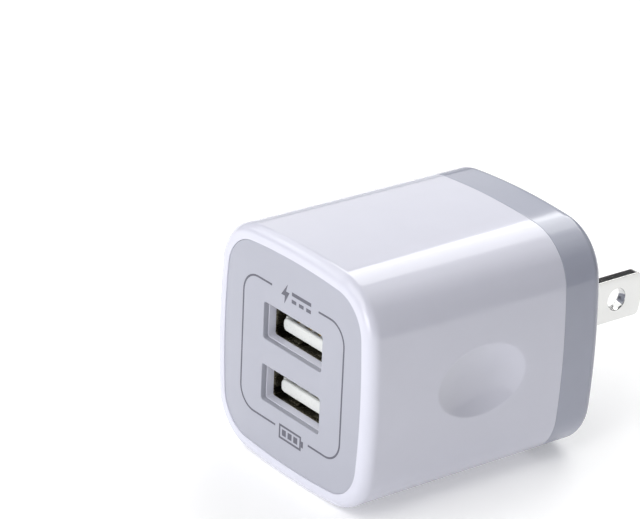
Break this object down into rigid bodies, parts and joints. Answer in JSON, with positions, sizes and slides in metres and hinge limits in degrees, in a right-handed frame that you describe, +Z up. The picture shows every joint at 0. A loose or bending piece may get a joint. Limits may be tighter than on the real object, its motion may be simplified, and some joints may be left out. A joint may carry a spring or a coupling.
{
  "type": "usb wall charger",
  "caption": "Rounded cube mains charger with two flat fixed blades at the back and stacked USB-A ports in a grey front panel, built from separate shells and electronics.",
  "frame": {"origin": "centre of the rear cover's flat face, which meets the wall outlet", "axes": "+Y points out of the rear face along the blades into the outlet, the USB ports face -Y, +Z is up with the blades standing side by side and the ports stacked, +X is to the right seen from the ports"},
  "size_m": [0.0336, 0.055, 0.0336],
  "materials": {
    "white_plastic": "gloss moulded housing with a faint cool tint",
    "grey_plastic": "gloss moulded rear cover, light cool grey",
    "panel_plastic": "satin light grey front insert",
    "print_ink": "dark grey printed lines and symbols",
    "tongue_plastic": "white moulding inside the ports",
    "black_plastic": "black moulded resin",
    "nickel": "nickel plated brass, polished",
    "steel": "plated shield steel",
    "gold": "gold flashed contacts",
    "bronze": "phosphor bronze strip",
    "board_green": "green solder mask on glass epoxy",
    "ferrite": "dull sintered ferrite",
    "winding_tape": "yellow insulating tape",
    "copper": "enamelled copper wire",
    "blue_sleeve": "dark blue printed sleeve",
    "green_sleeve": "green shrunk sleeve",
    "blue_ceramic": "blue dipped ceramic",
    "resistor_coat": "flameproof resistor coating",
    "film": "translucent insulating film"
  },
  "bodies": {
    "charger": {"main_housing": "white_plastic", "front_panel": "panel_plastic", "port_frame": "white_plastic", "rear_cover": "grey_plastic", "blade_left": "nickel", "blade_right": "nickel", "blade_retainer": "black_plastic", "contact_strip_left": "bronze", "contact_strip_right": "bronze", "usb_shell": "steel", "usb_insulator": "tongue_plastic", "contact_tail_upper_1": "gold", "contact_tail_upper_2": "gold", "contact_tail_upper_3": "gold", "contact_tail_upper_4": "gold", "contact_tail_lower_1": "gold", "contact_tail_lower_2": "gold", "contact_tail_lower_3": "gold", "contact_tail_lower_4": "gold", "transformer_core_left": "ferrite", "transformer_core_right": "ferrite", "transformer_bobbin": "black_plastic", "transformer_winding": "winding_tape", "transformer_pin_1": "nickel", "transformer_pin_2": "nickel", "transformer_pin_3": "nickel", "transformer_pin_4": "nickel", "transformer_pin_5": "nickel", "transformer_pin_6": "nickel", "input_capacitor_left": "blue_sleeve", "input_capacitor_right": "blue_sleeve", "output_capacitor_front": "green_sleeve", "output_capacitor_rear": "green_sleeve", "output_diode": "black_plastic", "output_choke_core": "ferrite", "output_choke_coil": "copper", "safety_capacitor": "blue_ceramic", "fusible_resistor": "resistor_coat", "filter_inductor": "green_sleeve", "bridge_rectifier": "black_plastic", "controller_chip": "black_plastic", "optocoupler": "black_plastic", "chip_resistor_1": "black_plastic", "chip_resistor_2": "black_plastic", "chip_resistor_3": "black_plastic", "chip_resistor_4": "black_plastic", "main_board": "board_green", "insulation_barrier": "film"},
    "upper_contacts": {"contact_arm_upper_1": "gold", "contact_arm_upper_2": "gold", "contact_arm_upper_3": "gold", "contact_arm_upper_4": "gold"},
    "lower_contacts": {"contact_arm_lower_1": "gold", "contact_arm_lower_2": "gold", "contact_arm_lower_3": "gold", "contact_arm_lower_4": "gold"}
  },
  "joints": [
    {"name": "upper_contacts_flex", "type": "hinge", "parent": "charger", "child": "upper_contacts", "pos_m": [0, -0.0246, 0.0037], "axis": [1, 0, 0], "range_deg": [0, 2], "stiffness_Nm_per_rad": 1.07},
    {"name": "lower_contacts_flex", "type": "hinge", "parent": "charger", "child": "lower_contacts", "pos_m": [0, -0.0246, -0.0052], "axis": [1, 0, 0], "range_deg": [0, 2], "stiffness_Nm_per_rad": 1.07}
  ]
}
